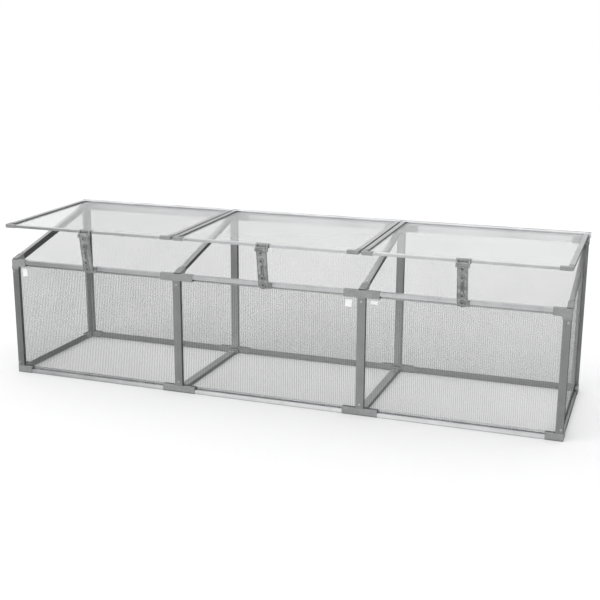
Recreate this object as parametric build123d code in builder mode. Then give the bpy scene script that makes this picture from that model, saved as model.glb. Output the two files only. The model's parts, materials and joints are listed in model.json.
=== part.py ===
from build123d import *
from math import cos, sin, tan, radians
import os

os.makedirs("parts", exist_ok=True)

# A three-bay cold frame in millimetres. X runs along its length, -Y is the front, Z is up.
# It is drawn about the middle of its fixed frame, and every part is written moved back by
# origin_offset, so that the origin is on the ground under the middle of the overall box,
# propped lids and arms included.

# driving sizes of the frame
frame_length = 1800
frame_depth = 470
bay_length = 600
front_height = 387  # top of the front connectors
rear_height = 505  # top of the rear hinge rails, under their channel
hinge_y = 229
hinge_z = 515
closed_slope = 14.6  # of the rafters and of a shut lid, degrees
rest_slope = 1.3  # of a propped lid, degrees
proud = 1.5  # connectors stand this far outside the extrusions
origin_offset = 21.16

# rail section: a hollow outer box, a groove for the panel and an inner wall
rail_width = 13.3
rail_box_width = 7.2
rail_box_height = 12
rail_height = 20.5
wall = 1.2
base_wall = 1.5
groove_end = 11.8

# posts
post_width = 25
corner_post_leg = 22
web_half = 2.5
corner_post_wall = 1.4

# twin-wall sheet
sheet = 4
sheet_gap = 0.3  # between a sheet's edge and what it sits in
flute_pitch = 6
skin = 0.4
rib = 0.4

# connectors
connector_height = 22
connector_wall = 14.8  # from the extrusions' outer face to the connector's inner face
corner_arm = 52
tee_arm = 55
groove_floor = 3
groove_side_gap = 0.1
corner_groove_length = 60  # of the end panel's groove through a top corner
spigot_length = 30
post_spigot = 35
spigot_gap = 0.15
collar_drop = 10
collar_width = 25
collar_round = 6
edge_chamfer = 0.8
corner_round = 3

# cross sills
sill_width = 25
sill_height = 12
sill_wall = 1.3
sill_stub_width = 28
sill_stub_height = 15
sill_stub_end = 200  # distance of the stub's end from the middle of the frame

# rafters: drops are measured square to the plane through the hinge axis at the closed slope,
# reaches along it from the hinge axis towards the front
rafter_drop = 7.5
rafter_depth = 12
rafter_width = 18
rafter_wall = 1.3
rafter_front = 433
rafter_rear = 48
socket_drop = 6.3
tee_socket_width = 22
tee_socket_floor = 21
corner_socket_floor = 29.5
socket_front = 474
socket_rear = 14

# hinge
bead_radius = 3.2
channel_inner = 3.6
channel_outer = 5
mouth_low = 38  # the channel's mouth runs from this far below the front to straight up
hinge_neck = 1.8
hinge_overhang = 3

# lids, in their own plane: reaches run from the hinge axis towards the front edge
lid_half = 297
lid_front = 491
lid_rear = 7
lid_rail_width = 14
lid_rail_half = 4
lid_groove_depth = 9
lid_groove_half = 2.3
lid_neck_half = 1
lid_corner_arm = 36
lid_corner_half = 5.5
lid_corner_round = 5
lid_corner_chamfer = 0.8
lid_window_length = 9
lid_window_depth = 3
lid_window_half = 1.8

# props
pivot_reach = 500
pivot_drop = 11
prop_lean = 9  # of a propped arm from the vertical, degrees
prop_length = 124  # from the pivot to the lower end
prop_top = 8  # from the pivot to the upper end
prop_width = 30
prop_half_depth = 5
prop_plate = 2.2
prop_flange = 2.4
prop_mouth_half = 10.5
prop_rim = 2  # width of the raised border round the face
prop_recess = 0.9  # depth of the face inside that border
prop_holes = [-8, -34, -88, -110]
prop_hole_radius = 4.6
prop_floor = 0.5  # thickness left behind a blind hole
prop_ring_radius = 7.4
prop_ring_height = 0.9
prop_spine_half = 3.4
prop_slot_half = 1.4
prop_slot_low = -76
prop_slot_high = -46
trunnion_radius = 2.5
trunnion_gap = 0.08
bracket_half = 21
bracket_wall = 1.5
bracket_front_wall = 2.5
bracket_rear = 478
ear_start = 15.4
ear_end = 19.4
ear_radius = 6
catch_half = 18
catch_bottom = 367
catch_top = 386
catch_thickness = 3
catch_round = 2.5
tongue_half = 8
tongue_bottom = 376
tongue_top = 382
tongue_tip = 253  # distance of the tongue's tip in front of the middle of the frame

# screws
screw_head_radius = 3.6
screw_head_height = 2
screw_radius = 1.7
screw_length = 5
screw_gap = 0.05
screw_inset = 12
collar_screw_gap = 8  # from the collar's lower edge to the screw under it
recess_radius = 1.5
recess_depth = 1.2
sill_screw_side = 6

# worked-out places
outer_x = frame_length / 2 - proud
outer_y = frame_depth / 2 - proud
connector_x = frame_length / 2
connector_y = frame_depth / 2
inner_x = outer_x - connector_wall
inner_y = outer_y - connector_wall
front_rail_top = front_height - proud
rear_connector_top = rear_height - base_wall
front_post_top = front_height - connector_height
rear_post_top = rear_connector_top - connector_height + proud
groove_near = outer_y - groove_end
groove_far = outer_y - rail_box_width
panel_y = (groove_near + groove_far) / 2
panel_x = outer_x - (rail_box_width + groove_end) / 2
block_x = outer_x - rail_width  # inner side of a corner post's core
block_y = outer_y - rail_width
bay_centres = [-bay_length, 0, bay_length]
bay_names = ["left", "centre", "right"]
tee_centres = [-bay_length / 2, bay_length / 2]
tee_names = ["left", "right"]
end_rail_length = connector_x - corner_arm - bay_length / 2 - tee_arm
end_rail_centre = (connector_x - corner_arm + bay_length / 2 + tee_arm) / 2
bay_rails = [
    (-end_rail_centre, end_rail_length),
    (0, bay_length - 2 * tee_arm),
    (end_rail_centre, end_rail_length),
]


def section_plane(origin, inward, up):
    """A plane whose X points into the frame and whose Y is the section's up."""
    inward = Vector(inward)
    return Plane(origin=origin, x_dir=inward, z_dir=inward.cross(Vector(up)))


def slope_plane(x, slope):
    """A plane on the hinge axis: local Y is towards the rear, Z is square to the slope."""
    s = radians(slope)
    return Plane(origin=(x, hinge_y, hinge_z), x_dir=(1, 0, 0), z_dir=(0, -sin(s), cos(s)))


def shifted(plane, x, y, z):
    """The same plane with its origin moved by local distances."""
    origin = plane.from_local_coords(Vector(x, y, z))
    return Plane(origin=origin, x_dir=plane.x_dir, z_dir=plane.z_dir)


def slope_height(y, drop):
    """Height at y of the plane that lies drop under the hinge plane at the closed slope."""
    s = radians(closed_slope)
    return hinge_z - (hinge_y - y) * tan(s) - drop / cos(s)


def box(x0, x1, y0, y1, z0, z1, mode=Mode.ADD):
    with Locations(((x0 + x1) / 2, (y0 + y1) / 2, (z0 + z1) / 2)):
        Box(abs(x1 - x0), abs(y1 - y0), abs(z1 - z0), mode=mode)


def slope_box(plane, x0, x1, reach0, reach1, z0, z1, mode=Mode.ADD):
    """A box on a slope plane, between two reaches from the hinge axis."""
    place = shifted(plane, (x0 + x1) / 2, -(reach0 + reach1) / 2, (z0 + z1) / 2)
    with Locations(place):
        Box(abs(x1 - x0), abs(reach1 - reach0), abs(z1 - z0), mode=mode)


def rect(x0, x1, y0, y1, mode=Mode.ADD):
    with Locations(((x0 + x1) / 2, (y0 + y1) / 2)):
        Rectangle(abs(x1 - x0), abs(y1 - y0), mode=mode)


def rail_section():
    rect(0, rail_box_width, 0, rail_box_height)
    rect(0, rail_width, 0, base_wall)
    rect(groove_end, rail_width, 0, rail_height)
    rect(wall, rail_box_width - wall, base_wall, rail_box_height - wall, mode=Mode.SUBTRACT)


def save(part, name):
    placed = part.moved(Location((0, origin_offset, 0)))
    placed.label = name
    export_step(placed, f"parts/{name}.step")


# ---- screws: where each one enters, and the way its head faces

closed_plane = slope_plane(0, closed_slope)
rafter_lines = [-outer_x + rail_box_width / 2, *tee_centres, outer_x - rail_box_width / 2]


def post_screws(x, side, top, from_top):
    y = side * outer_y
    low = (x, y, connector_height + screw_inset)
    high = (x, y, top - from_top)
    return [(low, (0, side, 0)), (high, (0, side, 0))]


corner_screw_x = outer_x - rail_width / 2
collar_inset = collar_drop + collar_screw_gap
front_corner_screws = {
    -1: post_screws(-corner_screw_x, -1, front_post_top, collar_inset),
    1: post_screws(corner_screw_x, -1, front_post_top, collar_inset),
}
rear_corner_screws = {
    -1: post_screws(-corner_screw_x, 1, rear_post_top, screw_inset),
    1: post_screws(corner_screw_x, 1, rear_post_top, screw_inset),
}
front_tee_screws = [post_screws(x, -1, front_post_top, screw_inset) for x in tee_centres]
rear_tee_screws = [post_screws(x, 1, rear_post_top, screw_inset) for x in tee_centres]
rafter_screws = [
    [
        (closed_plane.from_local_coords(Vector(x, -reach, -rafter_drop)), closed_plane.z_dir)
        for reach in (rafter_front - screw_inset, rafter_rear + screw_inset)
    ]
    for x in rafter_lines
]
sill_screws = [
    [
        ((x + across, along * (sill_stub_end - screw_inset), proud + sill_height), (0, 0, 1))
        for across in (-sill_screw_side, sill_screw_side)
        for along in (-1, 1)
    ]
    for x in tee_centres
]
every_screw = (
    [screw for group in front_corner_screws.values() for screw in group]
    + [screw for group in rear_corner_screws.values() for screw in group]
    + [screw for group in front_tee_screws + rear_tee_screws for screw in group]
    + [screw for group in rafter_screws + sill_screws for screw in group]
)


def screw_holes(screws):
    """Cuts the clearance hole of each screw through what is being built."""
    for origin, direction in screws:
        with Locations(Plane(origin=origin, z_dir=direction)):
            Cylinder(screw_radius + screw_gap, 2 * (screw_length + screw_gap), mode=Mode.SUBTRACT)


with BuildPart() as frame_screws:
    for origin, direction in every_screw:
        place = Plane(origin=origin, z_dir=direction)
        with Locations(place):
            Cylinder(
                screw_head_radius,
                screw_head_height,
                align=(Align.CENTER, Align.CENTER, Align.MIN),
            )
            Cylinder(
                screw_radius,
                screw_length,
                align=(Align.CENTER, Align.CENTER, Align.MAX),
            )
        with Locations(shifted(place, 0, 0, screw_head_height)):
            Cylinder(recess_radius, 2 * recess_depth, mode=Mode.SUBTRACT)
save(frame_screws.part, "frame_screws")


# ---- rails along the length


def straight_rails(name, y, z, inward, up):
    with BuildPart() as rails:
        for centre, length in bay_rails:
            with BuildSketch(section_plane((centre, y, z), inward, up)):
                rail_section()
            extrude(amount=length / 2, both=True)
    save(rails.part, name)


straight_rails("front_bottom_rails", -outer_y, proud, (0, 1, 0), (0, 0, 1))
straight_rails("rear_bottom_rails", outer_y, proud, (0, -1, 0), (0, 0, 1))
straight_rails("front_top_rails", -outer_y, front_rail_top, (0, 1, 0), (0, 0, -1))


def channel_section():
    """The hinge channel on its neck and top plate, about the hinge axis."""
    plate_top = rear_height - hinge_z
    Circle(channel_outer)
    rect(0, hinge_neck, plate_top, -channel_inner)
    rect(block_y - hinge_y, outer_y - hinge_y, plate_top - base_wall, plate_top)
    Circle(channel_inner, mode=Mode.SUBTRACT)
    low = radians(mouth_low)
    reach = 2 * channel_outer
    below = (-reach * cos(low), -reach * sin(low))
    Polygon((0, 0), (0, reach), (-reach, reach), below, align=None, mode=Mode.SUBTRACT)


with BuildPart() as hinge_rails:
    for centre, length in bay_rails:
        with BuildSketch(section_plane((centre, outer_y, rear_height), (0, -1, 0), (0, 0, -1))):
            rail_section()
        extrude(amount=length / 2, both=True)
    for centre in bay_centres:
        left = centre - bay_length / 2 + 1
        right = centre + bay_length / 2 - 1
        if centre < 0:
            left = -connector_x - hinge_overhang
        if centre > 0:
            right = connector_x + hinge_overhang
        place = Plane(origin=(left, hinge_y, hinge_z), x_dir=(0, 1, 0), z_dir=(1, 0, 0))
        with BuildSketch(place):
            channel_section()
        extrude(amount=right - left)
save(hinge_rails.part, "rear_hinge_rails")


# ---- sills

for side, name in ((-1, "left"), (1, "right")):
    with BuildPart() as end_sill:
        with BuildSketch(section_plane((side * outer_x, 0, proud), (-side, 0, 0), (0, 0, 1))):
            rail_section()
        extrude(amount=connector_y - corner_arm, both=True)
    save(end_sill.part, f"{name}_end_sill")

for index, x in enumerate(tee_centres):
    with BuildPart() as cross_sill:
        with BuildSketch(Plane(origin=(x, 0, proud), x_dir=(1, 0, 0), z_dir=(0, -1, 0))):
            rect(-sill_width / 2, sill_width / 2, 0, sill_height)
            rect(
                -sill_width / 2 + sill_wall,
                sill_width / 2 - sill_wall,
                sill_wall,
                sill_height - sill_wall,
                mode=Mode.SUBTRACT,
            )
        extrude(amount=sill_stub_end, both=True)
        screw_holes(sill_screws[index])
    save(cross_sill.part, f"{tee_names[index]}_cross_sill")


# ---- rafters

rafter_middle = (rafter_front + rafter_rear) / 2
rafter_half = (rafter_front - rafter_rear) / 2
slope_down = closed_plane.z_dir * -1

for side, name, screws in ((-1, "left", rafter_screws[0]), (1, "right", rafter_screws[3])):
    with BuildPart() as end_rafter:
        origin = closed_plane.from_local_coords(Vector(side * outer_x, -rafter_middle, -rafter_drop))
        with BuildSketch(section_plane(origin, (-side, 0, 0), slope_down)):
            rail_section()
        extrude(amount=rafter_half, both=True)
        screw_holes(screws)
    save(end_rafter.part, f"{name}_end_rafter")

for index, x in enumerate(tee_centres):
    with BuildPart() as cross_rafter:
        origin = closed_plane.from_local_coords(Vector(x, -rafter_middle, -rafter_drop))
        with BuildSketch(section_plane(origin, (1, 0, 0), slope_down)):
            rect(-rafter_width / 2, rafter_width / 2, 0, rafter_depth)
            rect(
                -rafter_width / 2 + rafter_wall,
                rafter_width / 2 - rafter_wall,
                rafter_wall,
                rafter_depth - rafter_wall,
                mode=Mode.SUBTRACT,
            )
        extrude(amount=rafter_half, both=True)
        screw_holes(rafter_screws[index + 1])
    save(cross_rafter.part, f"{tee_names[index]}_cross_rafter")


# ---- posts


def corner_post_section():
    leg = corner_post_leg
    rect(0, leg, 0, rail_box_width)
    rect(0, rail_box_width, 0, leg)
    rect(0, rail_width, 0, rail_width)
    rect(rail_width, leg, groove_end, rail_width)
    rect(groove_end, rail_width, rail_width, leg)
    core = (corner_post_wall, groove_end - spigot_gap * 2)
    rect(*core, *core, mode=Mode.SUBTRACT)
    pocket = (rail_width, leg - wall)
    across = (wall, rail_box_width - wall)
    rect(*pocket, *across, mode=Mode.SUBTRACT)
    rect(*across, *pocket, mode=Mode.SUBTRACT)


def tee_post_section():
    half = post_width / 2
    rect(-half, half, 0, rail_box_width)
    rect(-web_half, web_half, 0, rail_width)
    rect(-half, half, groove_end, rail_width)
    rect(-half + wall, half - wall, wall, rail_box_width - wall, mode=Mode.SUBTRACT)


def corner_post(name, side_x, side_y, top, screws):
    with BuildPart() as post:
        origin = (side_x * outer_x, side_y * outer_y, connector_height)
        with BuildSketch(section_plane(origin, (-side_x, 0, 0), (0, -side_y, 0))):
            corner_post_section()
        extrude(amount=top - connector_height, dir=(0, 0, 1))
        screw_holes(screws)
    save(post.part, name)


def tee_post(name, x, side_y, top, screws):
    with BuildPart() as post:
        origin = (x, side_y * outer_y, connector_height)
        with BuildSketch(section_plane(origin, (1, 0, 0), (0, -side_y, 0))):
            tee_post_section()
        extrude(amount=top - connector_height, dir=(0, 0, 1))
        screw_holes(screws)
    save(post.part, name)


for side, name in ((-1, "left"), (1, "right")):
    corner_post(f"front_{name}_corner_post", side, -1, front_post_top, front_corner_screws[side])
    corner_post(f"rear_{name}_corner_post", side, 1, rear_post_top, rear_corner_screws[side])

for index, x in enumerate(tee_centres):
    name = tee_names[index]
    tee_post(f"front_{name}_middle_post", x, -1, front_post_top, front_tee_screws[index])
    tee_post(f"rear_{name}_middle_post", x, 1, rear_post_top, rear_tee_screws[index])


# ---- connectors


def rail_spigot(start, way, side_y, base, up):
    """The tongue that a connector pushes into a rail along X."""
    near = outer_y - wall - spigot_gap
    far = outer_y - rail_box_width + wall + spigot_gap
    low = base + up * (base_wall + spigot_gap)
    high = base + up * (rail_box_height - wall - spigot_gap)
    box(start, start + way * spigot_length, side_y * near, side_y * far, low, high)


def corner_groove(side_y, z0, z1):
    """Room for the long wall's panel beside a corner post."""
    box(
        -block_x,
        -connector_x + corner_arm,
        side_y * groove_near,
        side_y * groove_far,
        z0,
        z1,
        mode=Mode.SUBTRACT,
    )


def tee_grooves(x, side_y, z0, z1):
    for way in (-1, 1):
        box(
            x + way * (web_half + groove_side_gap),
            x + way * tee_arm,
            side_y * groove_near,
            side_y * groove_far,
            z0,
            z1,
            mode=Mode.SUBTRACT,
        )


def corner_post_spigot(side_y, z0, z1):
    near = corner_post_wall + spigot_gap
    far = groove_end - 3 * spigot_gap
    box(-outer_x + near, -outer_x + far, side_y * (outer_y - near), side_y * (outer_y - far), z0, z1)


def tee_post_spigot(x, side_y, z0, z1):
    near = outer_y - wall - spigot_gap
    far = outer_y - rail_box_width + wall + spigot_gap
    half = post_width / 2 - wall - spigot_gap
    box(x - half, x + half, side_y * near, side_y * far, z0, z1)


def end_panel_prism(y0, y1, low, drop):
    """The end panel's groove under the end rafter, between two depths."""
    place = Plane(origin=(-outer_x + rail_box_width, 0, 0), x_dir=(0, 1, 0), z_dir=(1, 0, 0))
    with BuildSketch(place) as outline:
        Polygon(
            (y0, low),
            (y1, low),
            (y1, slope_height(y1, drop)),
            (y0, slope_height(y0, drop)),
            align=None,
        )
    extrude(outline.sketch, amount=groove_end - rail_box_width, mode=Mode.SUBTRACT)


def bottom_corners(name, side_y, screws):
    with BuildPart() as pair:
        with BuildSketch():
            rect(-connector_x, -connector_x + corner_arm, side_y * connector_y, side_y * inner_y)
            corner_end = connector_y - corner_arm
            rect(-connector_x, -inner_x, side_y * connector_y, side_y * corner_end)
            corner = min(vertices(), key=lambda v: v.X - side_y * v.Y)
            fillet(corner, corner_round)
        extrude(amount=connector_height)
        rims = faces().sort_by(Axis.Z)
        chamfer(rims[0].edges() + rims[-1].edges(), edge_chamfer)
        corner_groove(side_y, groove_floor, connector_height)
        box(
            -outer_x + rail_box_width,
            -outer_x + groove_end,
            side_y * block_y,
            side_y * corner_end,
            groove_floor,
            connector_height,
            mode=Mode.SUBTRACT,
        )
        rail_spigot(-connector_x + corner_arm, 1, side_y, proud, 1)
        near = outer_x - wall - spigot_gap
        far = outer_x - rail_box_width + wall + spigot_gap
        low = proud + base_wall + spigot_gap
        high = proud + rail_box_height - wall - spigot_gap
        box(-near, -far, side_y * corner_end, side_y * (corner_end - spigot_length), low, high)
        corner_post_spigot(side_y, connector_height, connector_height + post_spigot)
        screw_holes(screws)
        mirror(about=Plane.YZ)
    save(pair.part, name)


def bottom_tees(name, side_y, screws):
    with BuildPart() as pair:
        for x in tee_centres:
            with BuildSketch():
                rect(x - tee_arm, x + tee_arm, side_y * connector_y, side_y * inner_y)
            extrude(amount=connector_height)
        rims = faces().filter_by(Axis.Z)
        chamfer(rims.edges(), edge_chamfer)
        for index, x in enumerate(tee_centres):
            stub_half = sill_stub_width / 2
            stub = (side_y * (inner_y + 1), side_y * sill_stub_end)
            box(x - stub_half, x + stub_half, *stub, 0, sill_stub_height)
            tee_grooves(x, side_y, groove_floor, connector_height)
            for way in (-1, 1):
                rail_spigot(x + way * tee_arm, way, side_y, proud, 1)
            tee_post_spigot(x, side_y, connector_height, connector_height + post_spigot)
            half = sill_width / 2 - sill_wall - spigot_gap
            low = proud + sill_wall + spigot_gap
            high = proud + sill_height - sill_wall - spigot_gap
            inside = side_y * (sill_stub_end - spigot_length)
            box(x - half, x + half, side_y * sill_stub_end, inside, low, high)
            screw_holes(screws[index])
            screw_holes(sill_screws[index])
    save(pair.part, name)


bottom_corners("bottom_front_corner_connectors", -1, front_corner_screws[-1])
bottom_corners("bottom_rear_corner_connectors", 1, rear_corner_screws[-1])
bottom_tees("bottom_front_tee_connectors", -1, front_tee_screws)
bottom_tees("bottom_rear_tee_connectors", 1, rear_tee_screws)


def rafter_socket(x0, x1, floor, reach0, reach1):
    slope_box(closed_plane, x0, x1, reach0, reach1, -socket_drop, -floor)


def end_rafter_spigot(reach, way):
    near = -outer_x + wall + spigot_gap
    far = -outer_x + rail_box_width - wall - spigot_gap
    top = -rafter_drop - base_wall - spigot_gap
    floor = -rafter_drop - rail_box_height + wall + spigot_gap
    slope_box(closed_plane, near, far, reach, reach + way * spigot_length, top, floor)


def cross_rafter_spigot(x, reach, way):
    half = rafter_width / 2 - rafter_wall - spigot_gap
    top = -rafter_drop - rafter_wall - spigot_gap
    floor = -rafter_drop - rafter_depth + rafter_wall + spigot_gap
    slope_box(closed_plane, x - half, x + half, reach, reach + way * spigot_length, top, floor)


def collar(z):
    """Thin plates down the outside of a corner post under a connector's arm at height z."""
    corner = (-connector_x, -connector_y, z)
    front_face = Plane(origin=corner, x_dir=(1, 0, 0), z_dir=(0, -1, 0))
    end_face = Plane(origin=corner, x_dir=(0, 1, 0), z_dir=(-1, 0, 0))
    width = collar_width
    edge = width + collar_round
    for place, flip in ((front_face, 1), (end_face, -1)):
        with BuildSketch(place) as plate:
            rect(0, edge, 0, -flip * collar_round)
            rect(0, width, 0, -flip * collar_drop)
            with Locations((edge, -flip * collar_round)):
                Circle(collar_round, mode=Mode.SUBTRACT)
        extrude(plate.sketch, amount=-proud)


def top_front_corners(name, screws):
    with BuildPart() as pair:
        base = front_post_top
        corner_end = -connector_x + corner_arm
        with BuildSketch(Plane.XY.offset(base)):
            rect(-connector_x, corner_end, -connector_y, -inner_y)
            fillet(min(vertices(), key=lambda v: v.X + v.Y), corner_round)
        extrude(amount=connector_height)
        top = faces().sort_by(Axis.Z)[-1]
        chamfer(top.edges(), edge_chamfer)
        rafter_socket(-connector_x, -inner_x, corner_socket_floor, rafter_front, socket_front)
        collar(base)
        corner_groove(-1, base, front_height - groove_floor)
        end_panel_prism(-block_y, -block_y + corner_groove_length, base - collar_drop, rafter_drop + base_wall)
        rail_spigot(corner_end, 1, -1, front_rail_top, -1)
        corner_post_spigot(-1, base, base - post_spigot)
        end_rafter_spigot(rafter_front, -1)
        screw_holes(screws)
        screw_holes(rafter_screws[0])
        mirror(about=Plane.YZ)
    save(pair.part, name)


def top_rear_corners(name, screws):
    with BuildPart() as pair:
        base = rear_post_top
        corner_end = -connector_x + corner_arm
        with BuildSketch(Plane.XY.offset(base)):
            rect(-connector_x, corner_end, connector_y, inner_y)
            fillet(min(vertices(), key=lambda v: v.X - v.Y), corner_round)
        extrude(amount=rear_connector_top - base)
        rafter_socket(-connector_x, -inner_x, corner_socket_floor, socket_rear, rafter_rear)
        leg_end = outer_y - corner_post_leg
        below = (base - collar_drop, base)
        box(-connector_x, -inner_x, leg_end, connector_y, *below, mode=Mode.SUBTRACT)
        corner_groove(1, base, rear_connector_top)
        end_panel_prism(block_y - corner_groove_length, block_y, base - collar_drop, rafter_drop + base_wall)
        rail_spigot(corner_end, 1, 1, rear_height, -1)
        corner_post_spigot(1, base, base - post_spigot)
        end_rafter_spigot(rafter_rear, 1)
        screw_holes(screws)
        screw_holes(rafter_screws[0])
        mirror(about=Plane.YZ)
    save(pair.part, name)


def top_tees(name, side_y, base, top, groove_top, rail_top, sockets, spigot, screws):
    with BuildPart() as pair:
        for x in tee_centres:
            box(x - tee_arm, x + tee_arm, side_y * connector_y, side_y * inner_y, base, top)
        if side_y < 0:
            chamfer(faces().filter_by(Axis.Z).sort_by(Axis.Z)[-2:].edges(), edge_chamfer)
        for index, x in enumerate(tee_centres):
            half = tee_socket_width / 2
            rafter_socket(x - half, x + half, tee_socket_floor, *sockets)
            tee_grooves(x, side_y, base, groove_top)
            for way in (-1, 1):
                rail_spigot(x + way * tee_arm, way, side_y, rail_top, -1)
            tee_post_spigot(x, side_y, base, base - post_spigot)
            cross_rafter_spigot(x, *spigot)
            screw_holes(screws[index])
            screw_holes(rafter_screws[index + 1])
    save(pair.part, name)


top_front_corners("top_front_corner_connectors", front_corner_screws[-1])
top_rear_corners("top_rear_corner_connectors", rear_corner_screws[-1])
top_tees(
    "top_front_tee_connectors",
    -1,
    front_post_top,
    front_height,
    front_height - groove_floor,
    front_rail_top,
    (rafter_front, socket_front),
    (rafter_front, -1),
    front_tee_screws,
)
top_tees(
    "top_rear_tee_connectors",
    1,
    rear_post_top,
    rear_connector_top,
    rear_connector_top,
    rear_height,
    (socket_rear, rafter_rear),
    (rafter_rear, 1),
    rear_tee_screws,
)


# ---- twin-wall panels


def twin_wall(width):
    """A sheet's section across its flutes, centred on the sketch."""
    Rectangle(width, sheet)
    count = int((width - 2 * skin) // flute_pitch)
    with GridLocations(flute_pitch, 1, count, 1):
        Rectangle(flute_pitch - rib, sheet - 2 * skin, mode=Mode.SUBTRACT)


panel_bottom = proud + base_wall + sheet_gap
front_panel_top = front_rail_top - base_wall - sheet_gap
rear_panel_top = rear_height - base_wall - sheet_gap
tee_edge = bay_length / 2 + web_half + sheet_gap
panel_spans = [
    (-block_x + sheet_gap, -tee_edge),
    (-bay_length / 2 + web_half + sheet_gap, bay_length / 2 - web_half - sheet_gap),
    (tee_edge, block_x - sheet_gap),
]

for wall_name, y, top in (("front", -panel_y, front_panel_top), ("rear", panel_y, rear_panel_top)):
    for (left, right), bay in zip(panel_spans, bay_names):
        with BuildPart() as panel:
            with BuildSketch(Plane(origin=((left + right) / 2, y, panel_bottom))):
                twin_wall(right - left)
            extrude(amount=top - panel_bottom)
        save(panel.part, f"{wall_name}_{bay}_panel")

end_panel_edge = block_y - sheet_gap
for side, name in ((-1, "left"), (1, "right")):
    with BuildPart() as end_panel:
        place = Plane(origin=(side * panel_x, 0, panel_bottom), x_dir=(0, 1, 0), z_dir=(0, 0, 1))
        with BuildSketch(place):
            twin_wall(2 * end_panel_edge)
        extrude(amount=rear_panel_top + sheet - panel_bottom)
        cut = rafter_drop + base_wall + sheet_gap
        reach = 2 * end_panel_edge
        slope_box(closed_plane, -connector_x, connector_x, -reach, 2 * reach, -cut, reach, Mode.SUBTRACT)
    save(end_panel.part, f"{name}_end_panel")


# ---- catches for the props, on the front top rail

with BuildPart() as catches:
    for x in bay_centres:
        face = -outer_y - catch_thickness
        box(x - catch_half, x + catch_half, -outer_y, face, catch_bottom, catch_top)
        box(x - tongue_half, x + tongue_half, face, -tongue_tip, tongue_bottom, tongue_top)
    fillet(catches.edges().filter_by(Axis.Y).group_by(Axis.Z)[0], catch_round)
save(catches.part, "prop_catches")


# ---- lids and props


def along_x(plane, x, reach, height):
    """A plane square to X at a lid's local place: its X is the reach and its Y the height."""
    origin = plane.from_local_coords(Vector(x, -reach, height))
    return Plane(origin=origin, x_dir=plane.y_dir * -1, z_dir=plane.y_dir.cross(plane.z_dir) * -1)


def grooved_bar(lid, x0, x1, reach0, reach1, groove):
    slope_box(lid, x0, x1, reach0, reach1, -lid_rail_half, lid_rail_half)
    slope_box(lid, *groove, -lid_groove_half, lid_groove_half, Mode.SUBTRACT)


def lid_front_rail(lid, name):
    half = lid_half - lid_corner_arm
    inner = lid_front - lid_rail_width
    with BuildPart() as rail:
        grooved_bar(lid, -half, half, inner, lid_front, (-half, half, inner, inner + lid_groove_depth))
        for way in (-1, 1):
            near = way * (half - lid_window_length)
            far = way * (half - 2 * lid_window_length)
            deep = lid_front - lid_window_depth
            slope_box(lid, near, far, deep, lid_front, -lid_window_half, lid_window_half, Mode.SUBTRACT)
    save(rail.part, f"{name}_lid_front_rail")


def lid_rear_rail(lid, name):
    inner = lid_rear + lid_rail_width
    groove_half = lid_half - lid_rail_width + lid_groove_depth
    groove = (-groove_half, groove_half, inner - lid_groove_depth, inner)
    with BuildPart() as rail:
        grooved_bar(lid, -lid_half, lid_half, lid_rear, inner, groove)
        slope_box(lid, -lid_half, lid_half, bead_radius / 2, lid_rear, -lid_neck_half, lid_neck_half)
        with Locations(along_x(lid, 0, 0, 0)):
            Cylinder(bead_radius, 2 * lid_half)
    save(rail.part, f"{name}_lid_rear_rail")


def lid_side_rails(lid, name):
    rear = lid_rear + lid_rail_width
    front = lid_front - lid_corner_arm
    with BuildPart() as rails:
        for way in (-1, 1):
            inner = way * (lid_half - lid_rail_width)
            groove = (inner, inner + way * lid_groove_depth, rear, front)
            grooved_bar(lid, way * lid_half, inner, rear, front, groove)
    save(rails.part, f"{name}_lid_side_rails")


def lid_corners(lid, name):
    """The fittings at the two front corners; the side rails butt against the rear rail."""
    groove_x = lid_half - lid_rail_width + lid_groove_depth
    groove_front = lid_front - lid_rail_width + lid_groove_depth
    arm = -(lid_front - lid_corner_arm)
    bar = -(lid_front - lid_rail_width)
    with BuildPart() as corners:
        for way in (-1, 1):
            with BuildSketch(shifted(lid, 0, 0, -lid_corner_half)):
                rect(way * lid_half, way * (lid_half - lid_corner_arm), -lid_front, bar)
                rect(way * lid_half, way * (lid_half - lid_rail_width), -lid_front, arm)
                outermost = max(vertices(), key=lambda v: way * v.X - v.Y)
                fillet(outermost, lid_corner_round)
            extrude(amount=2 * lid_corner_half)
        rims = faces().filter_by(lid)
        chamfer(rims.edges(), lid_corner_chamfer)
        reach = (lid_front - lid_corner_arm - lid_rail_width, groove_front)
        slope_box(lid, -groove_x, groove_x, *reach, -lid_groove_half, lid_groove_half, Mode.SUBTRACT)
    save(corners.part, f"{name}_lid_corners")


def lid_panel(lid, name):
    rear = lid_rear + lid_rail_width - lid_groove_depth + sheet_gap
    front = lid_front - lid_rail_width + lid_groove_depth - sheet_gap
    width = 2 * (lid_half - lid_rail_width + lid_groove_depth - sheet_gap)
    with BuildPart() as panel:
        origin = lid.from_local_coords(Vector(0, -front, 0))
        with BuildSketch(Plane(origin=origin, x_dir=lid.x_dir, z_dir=lid.y_dir)):
            twin_wall(width)
        extrude(amount=front - rear)
    save(panel.part, f"{name}_lid_panel")


def prop_bracket(lid, name):
    half = bracket_half
    top = lid_rail_half + bracket_wall
    face = lid_front + bracket_front_wall
    with BuildPart() as bracket:
        slope_box(lid, -half, half, bracket_rear, face, lid_rail_half, top)
        slope_box(lid, -half, half, lid_front, face, -top, top)
        slope_box(lid, -half, half, bracket_rear, face, -top, -lid_rail_half)
        for way in (-1, 1):
            with BuildSketch(along_x(lid, way * ear_start, 0, 0)):
                rect(lid_front, face, -top, top)
                with Locations((pivot_reach, -pivot_drop)):
                    Circle(ear_radius)
                make_hull()
                with Locations((pivot_reach, -pivot_drop)):
                    Circle(trunnion_radius + trunnion_gap, mode=Mode.SUBTRACT)
            extrude(amount=ear_end - ear_start, dir=(way, 0, 0))
    save(bracket.part, f"{name}_prop_bracket")


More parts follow.
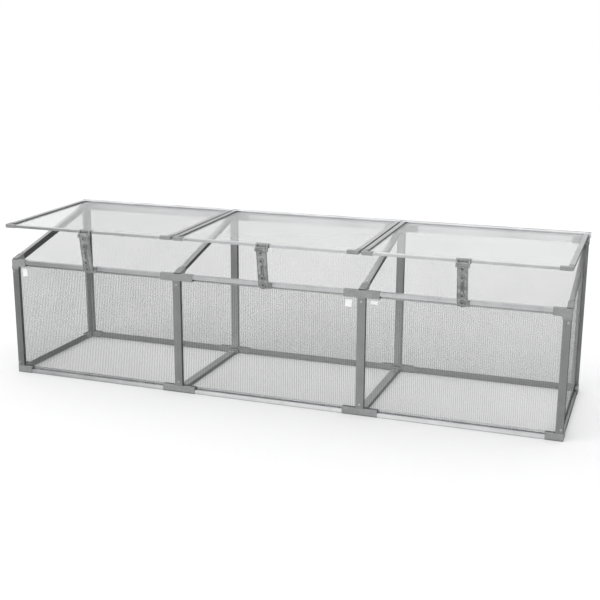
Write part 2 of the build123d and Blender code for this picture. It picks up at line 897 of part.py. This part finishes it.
def prop_arm(lid, name):
    pivot = lid.from_local_coords(Vector(0, -pivot_reach, -pivot_drop))
    lean = radians(prop_lean)
    # local Y runs up the arm and local Z faces forwards
    arm = Plane(origin=pivot, x_dir=(1, 0, 0), z_dir=(0, -cos(lean), -sin(lean)))
    half = prop_width / 2
    round_centre = half - prop_length
    inner = half - prop_flange
    with BuildPart() as prop:
        with BuildSketch(arm.offset(-prop_half_depth)):
            rect(-half, half, round_centre, prop_top)
            with Locations((0, round_centre)):
                Circle(half)
        extrude(amount=2 * prop_half_depth)
        with BuildSketch(arm.offset(-prop_half_depth)):
            rect(-inner, inner, round_centre, prop_top - prop_flange)
            with Locations((0, round_centre)):
                Circle(inner)
            rect(-prop_mouth_half, prop_mouth_half, -prop_length - 1, round_centre)
        extrude(amount=2 * prop_half_depth - prop_plate, mode=Mode.SUBTRACT)
        border = half - prop_rim
        with BuildSketch(arm.offset(prop_half_depth - prop_recess)):
            rect(-border, border, round_centre, prop_top - prop_rim)
            with Locations((0, round_centre)):
                Circle(border)
        extrude(amount=prop_recess, mode=Mode.SUBTRACT)
        with BuildSketch(arm.offset(prop_half_depth - prop_recess)):
            with Locations(*[(0, y) for y in prop_holes]):
                Circle(prop_ring_radius)
            rect(-prop_spine_half, prop_spine_half, prop_holes[-2], prop_holes[1])
        extrude(amount=prop_recess + prop_ring_height)
        with BuildSketch(arm.offset(prop_half_depth - prop_plate + prop_floor)):
            with Locations(*[(0, y) for y in prop_holes]):
                Circle(prop_hole_radius)
            rect(-prop_slot_half, prop_slot_half, prop_slot_low, prop_slot_high)
        extrude(amount=2 * prop_plate, mode=Mode.SUBTRACT)
        for way in (-1, 1):
            with BuildSketch(Plane(origin=pivot + Vector(way * half, 0, 0), z_dir=(way, 0, 0))):
                Circle(trunnion_radius)
            extrude(amount=ear_end - half)
    save(prop.part, f"{name}_prop_arm")


for centre, bay in zip(bay_centres, bay_names):
    lid = slope_plane(centre, rest_slope)
    lid_front_rail(lid, bay)
    lid_rear_rail(lid, bay)
    lid_side_rails(lid, bay)
    lid_corners(lid, bay)
    lid_panel(lid, bay)
    prop_bracket(lid, bay)
    prop_arm(lid, bay)
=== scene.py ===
import json
from math import cos, radians, sin

import bmesh
import bpy
from mathutils import Matrix, Vector


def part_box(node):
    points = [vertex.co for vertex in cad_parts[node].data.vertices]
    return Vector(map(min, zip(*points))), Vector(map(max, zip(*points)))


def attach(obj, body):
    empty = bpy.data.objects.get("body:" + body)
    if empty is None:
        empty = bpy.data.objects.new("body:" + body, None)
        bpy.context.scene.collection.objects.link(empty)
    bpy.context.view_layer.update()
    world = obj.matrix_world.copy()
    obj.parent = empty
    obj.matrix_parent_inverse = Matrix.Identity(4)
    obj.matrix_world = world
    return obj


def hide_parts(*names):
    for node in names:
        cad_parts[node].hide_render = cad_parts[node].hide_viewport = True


mm = 0.001
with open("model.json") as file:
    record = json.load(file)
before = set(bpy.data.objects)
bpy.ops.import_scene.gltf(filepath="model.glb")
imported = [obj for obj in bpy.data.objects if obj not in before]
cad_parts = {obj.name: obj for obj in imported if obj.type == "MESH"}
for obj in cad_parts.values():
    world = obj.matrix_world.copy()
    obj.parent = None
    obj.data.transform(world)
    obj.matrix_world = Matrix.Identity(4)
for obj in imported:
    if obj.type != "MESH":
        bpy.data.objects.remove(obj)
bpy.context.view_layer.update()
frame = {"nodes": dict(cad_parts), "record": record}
nodes = frame["nodes"]
bayNames = ("left", "centre", "right")
print("frame loaded:", len(nodes), "pieces")


class Signal:
    # one output of a shader node, so that maths on it reads as an expression

    def __init__(self, paint, socket):
        self.paint = paint
        self.socket = socket

    def maths(self, kind, first, second):
        return self.paint.node("ShaderNodeMath", {"operation": kind}, {0: first, 1: second})

    def __add__(self, other):
        return self.maths("ADD", self, other)

    def __radd__(self, other):
        return self.maths("ADD", other, self)

    def __sub__(self, other):
        return self.maths("SUBTRACT", self, other)

    def __rsub__(self, other):
        return self.maths("SUBTRACT", other, self)

    def __mul__(self, other):
        return self.maths("MULTIPLY", self, other)

    def __rmul__(self, other):
        return self.maths("MULTIPLY", other, self)

    def __pow__(self, other):
        return self.maths("POWER", self, other)

    def __rpow__(self, other):
        return self.maths("POWER", other, self)


class Paint:
    # one material or world; node() makes any node, with its settings set before its sockets

    def __init__(self, name, world=False):
        holder = bpy.data.worlds if world else bpy.data.materials
        self.block = holder.new(name)
        self.block.use_nodes = True
        self.tree = self.block.node_tree
        self.tree.nodes.clear()

    def node(self, kind, settings=None, sockets=None, out=0):
        made = self.tree.nodes.new(kind)
        for name, value in (settings or {}).items():
            setattr(made, name, value)
        for name, value in (sockets or {}).items():
            socket = made.inputs[name]
            if isinstance(value, Signal):
                self.tree.links.new(value.socket, socket)
            elif socket.type == "RGBA":
                socket.default_value = (*value, 1)
            else:
                socket.default_value = value
        return Signal(self, made.outputs[out]) if made.outputs else None

    def place(self, turn=(0, 0, 0), scale=(1, 1, 1)):
        coords = self.node("ShaderNodeTexCoord", out="Object")
        return self.node("ShaderNodeMapping", {}, {"Vector": coords, "Rotation": turn, "Scale": scale})

    def noise(self, vector, scale, detail=3, roughness=0.5):
        sockets = {"Vector": vector, "Scale": scale, "Detail": detail, "Roughness": roughness}
        return self.node("ShaderNodeTexNoise", {}, sockets)

    def spread(self, value, low, high):
        # 0 at low and 1 at high, held between
        sockets = {"Value": value, "From Min": low, "From Max": high}
        return self.node("ShaderNodeMapRange", {"clamp": True}, sockets)

    def mix(self, factor, first, second):
        # the node's colour sockets are its seventh and eighth, and its colour result its third
        return self.node("ShaderNodeMix", {"data_type": "RGBA"}, {0: factor, 6: first, 7: second}, out=2)

    def blend(self, factor, first, second):
        return self.node("ShaderNodeMixShader", {}, {0: factor, 1: first, 2: second})

    def bump(self, height, distance, strength, edge=None):
        sockets = {"Height": height, "Distance": distance, "Strength": strength}
        if edge is not None:
            sockets["Normal"] = self.node("ShaderNodeBevel", {"samples": 4}, {"Radius": edge})
        return self.node("ShaderNodeBump", {}, sockets)

    def principled(self, **sockets):
        named = {name.replace("_", " "): value for name, value in sockets.items()}
        return self.node("ShaderNodeBsdfPrincipled", {}, named)

    def output(self, shader, kind="ShaderNodeOutputMaterial"):
        self.node(kind, {}, {"Surface": shader})
        return self.block

    def finish(self, **sockets):
        return self.output(self.principled(**sockets))


def scaled(colour, share):
    return tuple(part * share for part in colour)


aluminium = {
    # tone, roughness and bareness of each run of bars; the tone is painted light and shade, the one
    # aluminium made lighter or darker for how each run is lit
    "runs": {
        "along": (0.80, 0.20, 1.0),
        "frontLow": (0.96, 0.15, 0.95),
        "rearLow": (0.36, 0.30, 1.0),
        "upright": (0.50, 0.30, 1.0),
        "across": (0.42, 0.30, 1.0),
        "rafter": (0.50, 0.24, 1.0),
        "lidSide": (0.50, 0.22, 1.0),
        "hinge": (0.96, 0.14, 1.0),
    },
    "tint": (1.0, 1.01, 1.02),
    "streaks": 0.22,  # how much darker the darkest streaks are
    "squeeze": 0.004,  # of a streak's pattern along the bar
    "dieLines": 1400,  # a metre, across the bar
    "bandLines": 1400 / 9,
    "dieDepth": 0.012 * mm,
    "cloud": 14,  # clouds a metre
    "specks": 900,  # specks a metre
    "speckTone": 0.7,
    "speckShare": 0.25,
    "edge": 0.25 * mm,  # radius of the softened edges
    "rafterTilt": 14.6,  # degrees
}


def extrudedMetal(name, run, along, tilt=0):
    # die lines run the way the bar was drawn, over a soft cloudy oxide
    litTone, shine, bare = aluminium["runs"][run]
    # painted light and shade: the run's tone lightens or darkens the one aluminium colour for how that run
    # is lit
    light = scaled(aluminium["tint"], litTone)
    dark = scaled(light, 1 - aluminium["streaks"])
    paint = Paint(name)
    turn = (radians(-tilt), 0, 0)
    straight = paint.place(turn)
    stretched = paint.place(turn, [aluminium["squeeze"] if axis == along else 1 for axis in "xyz"])
    lines = paint.noise(stretched, aluminium["dieLines"], 4, 0.65)
    bands = paint.noise(stretched, aluminium["bandLines"], 2)
    cloud = paint.noise(straight, aluminium["cloud"], 4, 0.6)
    specks = paint.spread(paint.noise(straight, aluminium["specks"], 2), 0.62, 0.75)
    streak = paint.spread(bands * 0.45 + cloud * 0.55, 0.36, 0.64)
    colour = paint.mix(streak, dark, light)
    colour = paint.mix(specks * aluminium["speckShare"], colour, scaled(dark, aluminium["speckTone"]))
    roughness = shine + lines * 0.10 + cloud * 0.08
    normal = paint.bump(lines, aluminium["dieDepth"], 0.6, aluminium["edge"])
    return paint.finish(Base_Color=colour, Metallic=bare, Roughness=roughness, Normal=normal)


plastic = {
    # colour, and how far wear and chalking lighten and darken it
    "connector": ((0.30, 0.305, 0.305), 0.35),
    "prop": ((0.36, 0.365, 0.365), 0.9),
    "grain": 2600,  # grains a metre in the mould's texture
    "grainDepth": 0.05 * mm,
    "flow": 24,  # flow marks a metre
    "flowTurn": 0.6,
    "flowStretch": (1, 3, 2),
    "chalk": 160,  # chalky spots a metre
    "recessShadeReach": 5 * mm,  # how far from a corner the painted shade reaches
    "recessShadeTone": 0.15,
    "edge": 0.5 * mm,
}


def mouldedPlastic(name, kind):
    # a fine spark-eroded grain, flow marks, chalky wear, and painted shade darkening the recesses
    colour, wear = plastic[kind]
    paint = Paint(name)
    coords = paint.place()
    grain = paint.noise(coords, plastic["grain"], 2, 0.6)
    turned = paint.place((0, 0, plastic["flowTurn"]), plastic["flowStretch"])
    flow = paint.spread(paint.noise(turned, plastic["flow"], 5, 0.6), 0.35, 0.65)
    chalk = paint.spread(paint.noise(coords, plastic["chalk"], 4, 0.7), 0.52, 0.72)
    base = paint.mix(flow, scaled(colour, 1 - 0.5 * wear), colour)
    base = paint.mix(chalk * 0.55, base, scaled(colour, 1 + wear))
    reach = {"Distance": plastic["recessShadeReach"]}
    # painted shade: ambient occlusion darkens the colour in recesses and corners
    clear = paint.node("ShaderNodeAmbientOcclusion", {"samples": 6}, reach, out="AO")
    recessShade = paint.spread(clear, 0.95, 0.55)
    base = paint.mix(recessShade * 0.85, base, scaled(colour, plastic["recessShadeTone"]))
    roughness = 0.46 + grain * 0.12 + chalk * 0.10
    normal = paint.bump(grain, plastic["grainDepth"], 0.5, plastic["edge"])
    return paint.finish(Base_Color=base, Metallic=0.0, Roughness=roughness, Normal=normal,
                        Specular_IOR_Level=0.45)


zinc = {
    "dull": (0.62, 0.62, 0.60),
    "bright": (0.80, 0.80, 0.78),
    "cloud": 420,  # clouds a metre
    "grain": 3000,  # grains a metre
    "grainDepth": 0.02 * mm,
}


def zincPlate(name):
    paint = Paint(name)
    coords = paint.place()
    cloud = paint.noise(coords, zinc["cloud"], 4, 0.6)
    base = paint.mix(paint.spread(cloud, 0.35, 0.65), zinc["dull"], zinc["bright"])
    normal = paint.bump(paint.noise(coords, zinc["grain"], 2), zinc["grainDepth"], 0.5)
    return paint.finish(Base_Color=base, Metallic=1.0, Roughness=0.26 + cloud * 0.2, Normal=normal)


sheet = {
    "pitch": 6 * mm,  # between the ribs
    "thick": 4 * mm,
    "rib": 0.45 * mm,
    "skinGap": 0.06 * mm,  # keeps a rib off the skins
    "lidTilt": 1.3,  # of a propped lid, degrees
    # colour of the haze, which is painted shade set lighter or darker for how each sheet is lit, in place of
    # refraction; how much one surface hides; and how much its painted sheen does at a glancing angle
    "hazeAndPaintedLight": {
        "front_skin": ((0.74, 0.75, 0.75), 0.085, 0.5),
        "front_rib": ((0.12, 0.125, 0.125), 0.17, 0.02),
        "rear_skin": ((0.18, 0.187, 0.187), 0.35, 0.5),
        "rear_rib": ((0.18, 0.19, 0.19), 0.03, 0.02),
        "left_end_skin": ((0.30, 0.31, 0.31), 0.13, 0.4),
        "left_end_rib": ((0.24, 0.25, 0.25), 0.09, 0.03),
        "right_end_skin": ((0.50, 0.51, 0.51), 0.04, 0.4),
        "right_end_rib": ((0.30, 0.31, 0.31), 0.03, 0.02),
        "lid_skin": ((0.80, 0.81, 0.81), 0.035, 1.10),
        "lid_rib": ((0.42, 0.43, 0.43), 0.05, 0.03),
    },
    # colour of the painted reflection
    "paintedSheen": (0.93, 0.94, 0.94),
    "paintedSheenPower": 5,  # how steeply the painted sheen grows towards a glancing angle
    "paintedSheenLeast": 0.02,  # of it that stays seen straight on
    "brightest": 0.8,
    "cloud": 4,  # clouds a metre
    "dust": 600,  # grains of dust a metre
    "bend": 1.58,  # polycarbonate's index of refraction
}


def clearSheet(name, tilt=0):
    # clear polycarbonate: a faint cloud and dust, under a painted reflection, a pale sheen that grows at a
    # glancing angle
    # the tint is painted shade, lighter or darker for how each sheet is lit
    tint, haze, paintedSheenWeight = sheet["hazeAndPaintedLight"][name]
    paint = Paint(name)
    straight = paint.place((radians(-tilt), 0, 0))
    cloud = paint.spread(paint.noise(straight, sheet["cloud"], 3, 0.5), 0.3, 0.7)
    dust = paint.spread(paint.noise(straight, sheet["dust"], 3, 0.7), 0.62, 0.80)
    dusty = tuple(min(part * 1.9, sheet["brightest"]) for part in tint)
    film = paint.principled(Base_Color=paint.mix(dust * 0.6, tint, dusty), Metallic=0.0,
                            Roughness=0.12 + dust * 0.3, IOR=sheet["bend"],
                            Alpha=haze * (0.90 + 0.20 * cloud) + dust * haze * 0.5)
    # painted reflection: a pale diffuse-looking surface mixed in towards a glancing angle in place of a
    # mirror
    paintedReflection = paint.principled(Base_Color=sheet["paintedSheen"], Metallic=0.0, Roughness=0.18, IOR=sheet["bend"])
    facing = paint.node("ShaderNodeLayerWeight", {}, {"Blend": 0.5}, out="Facing")
    share = facing ** sheet["paintedSheenPower"] * paintedSheenWeight + sheet["paintedSheenLeast"] * paintedSheenWeight
    return paint.output(paint.blend(share, film, paintedReflection))


labels = {
    "thick": 0.12 * mm,
    "corner": 1.0 * mm,
    "grey": (0.84, 0.84, 0.83),
    "white": (0.93, 0.93, 0.92),
    "fibres": 1500,  # a metre
    "fibreDepth": 0.02 * mm,
    # panel it is stuck to, distance in from that panel's left edge, centre height, width, height, tilt
    "places": (
        ("front_left_panel", 28, 345, 18, 26, -5),
        ("front_centre_panel", 556, 344, 20, 22, 4),
        ("front_right_panel", 34, 352, 22, 11, 5),
    ),
}


def labelPaper(name):
    paint = Paint(name)
    fibre = paint.noise(paint.place(), labels["fibres"], 4, 0.7)
    base = paint.mix(paint.spread(fibre, 0.3, 0.7), labels["grey"], labels["white"])
    normal = paint.bump(fibre, labels["fibreDepth"], 0.5)
    return paint.finish(Base_Color=base, Metallic=0.0, Roughness=0.45 + fibre * 0.2, Normal=normal)


metals = {
    "along": extrudedMetal("aluminium_along", "along", "x"),
    "upright": extrudedMetal("aluminium_upright", "upright", "z"),
    "across": extrudedMetal("aluminium_across", "across", "y"),
    "frontLow": extrudedMetal("aluminium_front_low", "frontLow", "x"),
    "rearLow": extrudedMetal("aluminium_rear_low", "rearLow", "x"),
    "hinge": extrudedMetal("aluminium_hinge", "hinge", "x"),
    "rafter": extrudedMetal("aluminium_rafter", "rafter", "y", aluminium["rafterTilt"]),
    "lidSide": extrudedMetal("aluminium_lid_side", "lidSide", "y", sheet["lidTilt"]),
}
# which run a bar belongs to, by how its name ends
runOf = {
    "post": "upright",
    "rafter": "rafter",
    "sill": "across",
    "side_rails": "lidSide",
    "rear_hinge_rails": "hinge",
    "lid_rear_rail": "hinge",
    "front_bottom_rails": "frontLow",
    "rear_bottom_rails": "rearLow",
    "front_rail": "along",
    "front_top_rails": "along",
}
slotFinish = {
    "connector_plastic": mouldedPlastic("connector_grey", "connector"),
    "prop_plastic": mouldedPlastic("prop_grey", "prop"),
    "zinc": zincPlate("zinc_plate"),
}


def sheetFor(kind, tilt=0):
    return clearSheet(kind + "_skin", tilt), clearSheet(kind + "_rib", tilt)


frontSheet = sheetFor("front")
rearSheet = sheetFor("rear")
endSheets = {"left": sheetFor("left_end"), "right": sheetFor("right_end")}
lidSheet = sheetFor("lid", sheet["lidTilt"])
labelWhite = labelPaper("blank_label")
print("materials made")


def coat(piece, material):
    piece.data.materials.clear()
    piece.data.materials.append(material)


for part in frame["record"]["subparts"]:
    name, slotName = part["node"], part["material_slot"]
    if slotName == "aluminium":
        run = next(run for ending, run in runOf.items() if name.endswith(ending))
        coat(nodes[name], metals[run])
    elif slotName in slotFinish:
        coat(nodes[name], slotFinish[slotName])
print("frame pieces coated")


def newPiece(name, bm, materials, body):
    mesh = bpy.data.meshes.new(name)
    bm.to_mesh(mesh)
    bm.free()
    piece = bpy.data.objects.new(name, mesh)
    bpy.context.scene.collection.objects.link(piece)
    for material in materials:
        mesh.materials.append(material)
    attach(piece, body)
    return piece


def outerSheet(node):
    # the hull of the sheet's own solid is its outside, with the flutes closed over
    bm = bmesh.new()
    bm.from_mesh(nodes[node].data)
    bmesh.ops.remove_doubles(bm, verts=bm.verts, dist=0.01 * mm)
    bmesh.ops.delete(bm, geom=bm.faces[:], context="FACES_ONLY")
    bmesh.ops.delete(bm, geom=bm.edges[:], context="EDGES_FACES")
    hull = bmesh.ops.convex_hull(bm, input=bm.verts[:])
    left = hull["geom_interior"] + hull["geom_unused"]
    inside = [part for part in left if isinstance(part, bmesh.types.BMVert)]
    bmesh.ops.delete(bm, geom=list(set(inside)), context="VERTS")
    bmesh.ops.dissolve_limit(bm, angle_limit=radians(2), verts=bm.verts[:], edges=bm.edges[:])
    bmesh.ops.recalc_face_normals(bm, faces=bm.faces[:])
    return bm


def ribRow(bm, low, high, along, across, tilt=0, topFace=None):
    # ribs stand across the sheet at even steps and run its whole length
    centre = (low + high) / 2
    size = high - low
    through = next(axis for axis in range(3) if axis not in (along, across))
    shape = [0, 0, 0]
    shape[along] = size[along] - 2 * sheet["skinGap"]
    shape[across] = sheet["rib"]
    shape[through] = sheet["thick"] - 2 * sheet["skinGap"]
    count = int((size[across] - 2 * sheet["rib"]) // sheet["pitch"])
    turn = Matrix.Rotation(radians(tilt), 4, "X")
    stretch = Matrix.Diagonal((*shape, 1))
    made = []
    for step in range(count + 1):
        shift = [0, 0, 0]
        shift[across] = (step - count / 2) * sheet["pitch"]
        place = Matrix.Translation(centre) @ turn @ Matrix.Translation(shift)
        made += bmesh.ops.create_cube(bm, size=1, matrix=place @ stretch)["verts"]
    if topFace is not None:
        edges = list({edge for vert in made for edge in vert.link_edges})
        faces = list({face for vert in made for face in vert.link_faces})
        point, normal = topFace
        cut = bmesh.ops.bisect_plane(bm, geom=made + edges + faces, plane_co=point, plane_no=normal,
                                     clear_outer=True)
        rims = [part for part in cut["geom_cut"] if isinstance(part, bmesh.types.BMEdge)]
        bmesh.ops.holes_fill(bm, edges=rims, sides=4)


def panelPiece(node, body, along, across, layers, tilt=0, sloped=False):
    bm = outerSheet(node)
    outer = len(bm.faces)
    low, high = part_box(node)
    topFace = None
    if sloped:
        bm.normal_update()
        top = max(bm.faces, key=lambda face: face.normal.z * face.calc_area())
        topFace = (top.calc_center_median() - top.normal * sheet["skinGap"], top.normal.copy())
    if tilt:
        # a tilted sheet's own length and thickness, from its level box
        centre = (low + high) / 2
        length = (high.y - low.y - sheet["thick"] * sin(radians(tilt))) / cos(radians(tilt))
        low = Vector((low.x, centre.y - length / 2, centre.z - sheet["thick"] / 2))
        high = Vector((high.x, centre.y + length / 2, centre.z + sheet["thick"] / 2))
    ribRow(bm, low, high, along, across, tilt, topFace)
    for number, face in enumerate(bm.faces):
        face.material_index = 0 if number < outer else 1
    piece = newPiece(node + "_sheet", bm, layers, body)
    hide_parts(node)


xAxis, yAxis, zAxis = 0, 1, 2
for bay in bayNames:
    panelPiece(f"front_{bay}_panel", "frame", zAxis, xAxis, frontSheet)
    panelPiece(f"rear_{bay}_panel", "frame", zAxis, xAxis, rearSheet)
    panelPiece(f"{bay}_lid_panel", f"{bay}_lid", yAxis, xAxis, lidSheet, tilt=sheet["lidTilt"])
for side, layers in endSheets.items():
    panelPiece(f"{side}_end_panel", "frame", zAxis, yAxis, layers, sloped=True)
print("panels made")


def labelPiece(number, node, inset, height, width, tall, tilt):
    # a rounded slip of paper on the panel's outer face
    low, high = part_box(node)
    bm = bmesh.new()
    bmesh.ops.create_cube(bm, size=1, matrix=Matrix.Diagonal((width * mm, labels["thick"], tall * mm, 1)))
    short = [edge for edge in bm.edges if abs((edge.verts[0].co - edge.verts[1].co).y) > labels["thick"] / 2]
    bmesh.ops.bevel(bm, geom=short, offset=labels["corner"], affect="EDGES", segments=3,
                    profile=0.5, material=-1)
    place = Matrix.Translation((low.x + inset * mm, low.y - labels["thick"] / 2, height * mm))
    bmesh.ops.transform(bm, matrix=place @ Matrix.Rotation(radians(tilt), 4, "Y"), verts=bm.verts[:])
    newPiece(f"blank_label_{number}", bm, [labelWhite], "frame")


for number, details in enumerate(labels["places"], 1):
    labelPiece(number, *details)
print("labels made")


studio = {
    "floorSize": 60,
    "floorLow": (0.90, 0.90, 0.90),
    "floorHigh": (0.92, 0.92, 0.92),
    "floorGrain": 60,
    "sky": 1.02,
    "sun": 0.40,
    "sunAngle": 50,  # how wide the soft sun is, degrees
    "sunWay": (0.35, 0.55, -1),
    # spot, what it aims at, its size and its power
    "key": ((-2.2, -2.6, 3.4), (0, 0, 0.2), (2.0, 2.0), 14),
    "rim": ((0.4, 3.4, 2.8), (0, 0, 0.3), (3.4, 1.4), 5),
    "pool": (-0.251, -0.936, -0.247),  # the way from the frame to the brightest part of the floor in front
    # what metal mirrors low down: at least, and more towards the front, the pool, the back and the ends
    "low": (0.05, 0.15, 0.75, 0.5, 0.4),
    "high": 0.98,
}


def floorPiece():
    bm = bmesh.new()
    bmesh.ops.create_grid(bm, x_segments=2, y_segments=2, size=studio["floorSize"])
    mesh = bpy.data.meshes.new("floor")
    bm.to_mesh(mesh)
    bm.free()
    floor = bpy.data.objects.new("floor", mesh)
    bpy.context.scene.collection.objects.link(floor)
    paint = Paint("floor_white")
    grain = paint.noise(paint.place(), studio["floorGrain"], 3)
    colour = paint.mix(grain, studio["floorLow"], studio["floorHigh"])
    mesh.materials.append(paint.finish(Base_Color=colour, Roughness=0.9, Specular_IOR_Level=0.0))
    floor.visible_glossy = False


def lampPiece(name, lamp, spot, way):
    holder = bpy.data.objects.new(name, lamp)
    bpy.context.scene.collection.objects.link(holder)
    holder.location = spot
    holder.rotation_euler = Vector(way).to_track_quat("-Z", "Y").to_euler()
    return holder


def areaLight(name):
    spot, aim, size, power = studio[name]
    lamp = bpy.data.lights.new(name, "AREA")
    lamp.shape = "RECTANGLE"
    lamp.size, lamp.size_y = size
    lamp.energy = power
    lampPiece(name, lamp, spot, Vector(aim) - Vector(spot)).visible_camera = False


def sunLight():
    lamp = bpy.data.lights.new("soft_sun", "SUN")
    lamp.energy = studio["sun"]
    lamp.angle = radians(studio["sunAngle"])
    lampPiece("soft_sun", lamp, (0, 0, 0), studio["sunWay"])


def studioSky():
    # white where the camera sees it, even for soft light, and darker low down where metal mirrors it
    paint = Paint("studio_sky", world=True)
    way = paint.node("ShaderNodeTexCoord", out="Generated")

    def axisOf(axis):
        return paint.node("ShaderNodeSeparateXYZ", {}, {"Vector": way}, out=axis)

    def isRay(kind):
        return paint.node("ShaderNodeLightPath", out=kind)

    def plain(strength):
        return paint.node("ShaderNodeBackground", {}, {"Color": (1, 1, 1), "Strength": strength})

    toPool = paint.node("ShaderNodeVectorMath", {"operation": "DOT_PRODUCT"}, {0: way, 1: studio["pool"]},
                        out="Value")
    pool = paint.spread(toPool, 0.93, 0.99)
    front = paint.spread(axisOf("Y") * -1, 0.2, 1.0)
    back = paint.spread(axisOf("Y"), 0.93, 1.0)
    ends = paint.spread(axisOf("X") * axisOf("X"), 0.6, 0.95)
    least, toFront, atPool, toBack, toEnds = studio["low"]
    low = least + toFront * front + atPool * pool + toBack * back + toEnds * ends
    high = paint.spread(axisOf("Z"), 0.0, 0.22)
    mirrored = plain(low * (1 - high) + high * studio["high"])
    soft = paint.blend(isRay("Is Glossy Ray"), plain(studio["sky"]), mirrored)
    both = paint.blend(isRay("Is Camera Ray"), soft, plain(1.0))
    bpy.context.scene.world = paint.output(both, "ShaderNodeOutputWorld")


floorPiece()
studioSky()
sunLight()
areaLight("key")
areaLight("rim")
bpy.context.scene.view_settings.view_transform = "Standard"
bpy.context.scene.cycles.transparent_max_bounces = 24  # sight passes several sheets, each of many layers
print("studio lit")


view = {
    "spot": (1.1210, -3.0413, 1.1087),
    "azimuth": 19.675,  # degrees, as the two below
    "down": 14.336,
    "roll": 0.302,
    "lens": 62.27,
    "sensor": 36,
}


def cameraPiece():
    azimuth, down, roll = (radians(view[name]) for name in ("azimuth", "down", "roll"))
    ahead = Vector((-sin(azimuth) * cos(down), cos(azimuth) * cos(down), -sin(down)))
    level = ahead.cross(Vector((0, 0, 1))).normalized()
    up = level.cross(ahead)
    right = level * cos(roll) + up * sin(roll)
    up = up * cos(roll) - level * sin(roll)
    lens = bpy.data.cameras.new("camera")
    lens.lens = view["lens"]
    lens.sensor_width = view["sensor"]
    holder = bpy.data.objects.new("camera", lens)
    bpy.context.scene.collection.objects.link(holder)
    turned = Matrix((right, up, -ahead)).transposed().to_4x4()
    holder.matrix_world = Matrix.Translation(view["spot"]) @ turned
    bpy.context.scene.camera = holder


cameraPiece()
print("camera placed")
